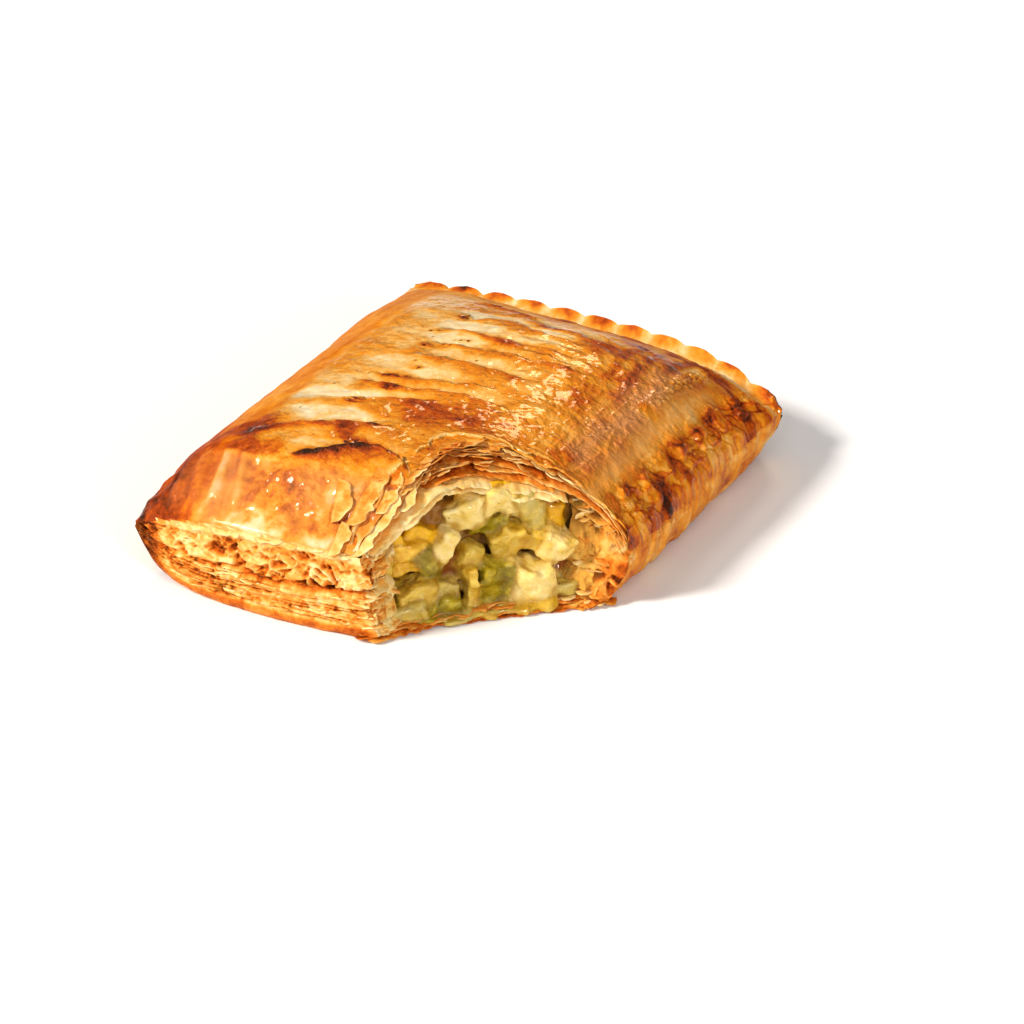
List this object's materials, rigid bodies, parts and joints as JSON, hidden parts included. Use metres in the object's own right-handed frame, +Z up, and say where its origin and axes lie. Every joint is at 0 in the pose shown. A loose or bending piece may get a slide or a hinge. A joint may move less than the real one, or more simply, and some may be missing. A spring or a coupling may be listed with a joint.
{
  "type": "puff pastry pasty",
  "caption": "Rectangular baked puff-pastry pasty, folded on one side, crimped on the others, with one corner torn off to show the diced vegetable filling.",
  "frame": {"origin": "on the ground under the middle of the pasty's plan", "axes": "+X towards the pressed side, -X the folded side, -Y the front cut end with the torn corner at +X, +Y the scalloped back end, +Z up"},
  "size_m": [0.1068, 0.131, 0.0378],
  "materials": {
    "pastry": "satin",
    "filling": "satin"
  },
  "bodies": {
    "root": {"pastry": "pastry", "filling": "filling"}
  },
  "joints": []
}
